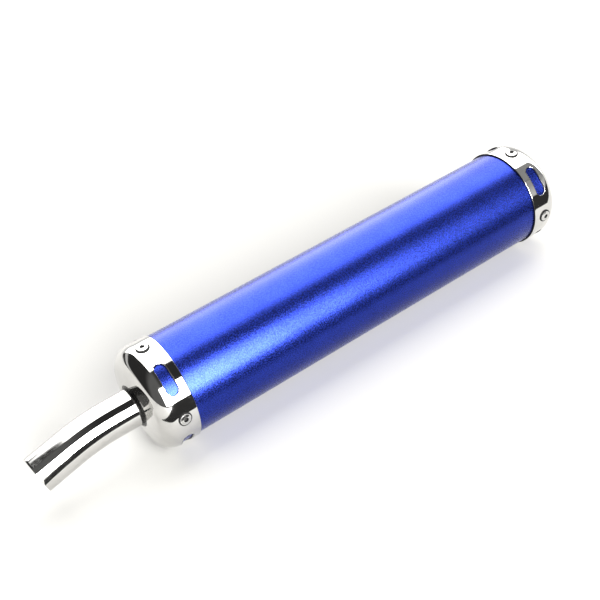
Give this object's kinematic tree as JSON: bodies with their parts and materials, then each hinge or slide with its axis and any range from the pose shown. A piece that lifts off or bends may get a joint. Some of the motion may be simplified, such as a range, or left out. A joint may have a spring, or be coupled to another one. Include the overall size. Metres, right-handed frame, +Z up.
{
  "type": "exhaust silencer",
  "caption": "Round straight-through silencer for a small two-stroke engine: blue anodised can, slotted and riveted chrome end caps, bent chrome inlet pipe.",
  "frame": {"origin": "middle of the can's length, on the can's axis", "axes": "+X along the can's axis towards the outlet; +Z up, opposite to the way the inlet pipe bends; +Y to complete a right-handed set"},
  "size_m": [0.3666, 0.0644, 0.0644],
  "materials": {
    "anodised_blue": "bead-blasted and anodised blue, satin",
    "chrome_plate": "bright chrome plate on pressed steel",
    "pipe_chrome": "bright chrome plate on drawn steel tube",
    "burnt_weld": "unpolished weld fillet, dark with heat scale",
    "rivet_steel": "polished steel blind rivet",
    "mandrel_steel": "broken, unpolished steel mandrel",
    "core_steel": "bare perforated steel tube",
    "glass_wool": "needled glass-fibre mat"
  },
  "bodies": {
    "root": {"outer_can": "anodised_blue", "inlet_cap": "chrome_plate", "outlet_cap": "chrome_plate", "inlet_pipe": "pipe_chrome", "outlet_pipe": "pipe_chrome", "inlet_weld": "burnt_weld", "outlet_weld": "burnt_weld", "core_tube": "core_steel", "packing": "glass_wool", "inlet_rivet_1": "rivet_steel", "inlet_rivet_mandrel_1": "mandrel_steel", "inlet_rivet_2": "rivet_steel", "inlet_rivet_mandrel_2": "mandrel_steel", "inlet_rivet_3": "rivet_steel", "inlet_rivet_mandrel_3": "mandrel_steel", "inlet_rivet_4": "rivet_steel", "inlet_rivet_mandrel_4": "mandrel_steel", "outlet_rivet_1": "rivet_steel", "outlet_rivet_mandrel_1": "mandrel_steel", "outlet_rivet_2": "rivet_steel", "outlet_rivet_mandrel_2": "mandrel_steel", "outlet_rivet_3": "rivet_steel", "outlet_rivet_mandrel_3": "mandrel_steel", "outlet_rivet_4": "rivet_steel", "outlet_rivet_mandrel_4": "mandrel_steel"}
  },
  "joints": []
}
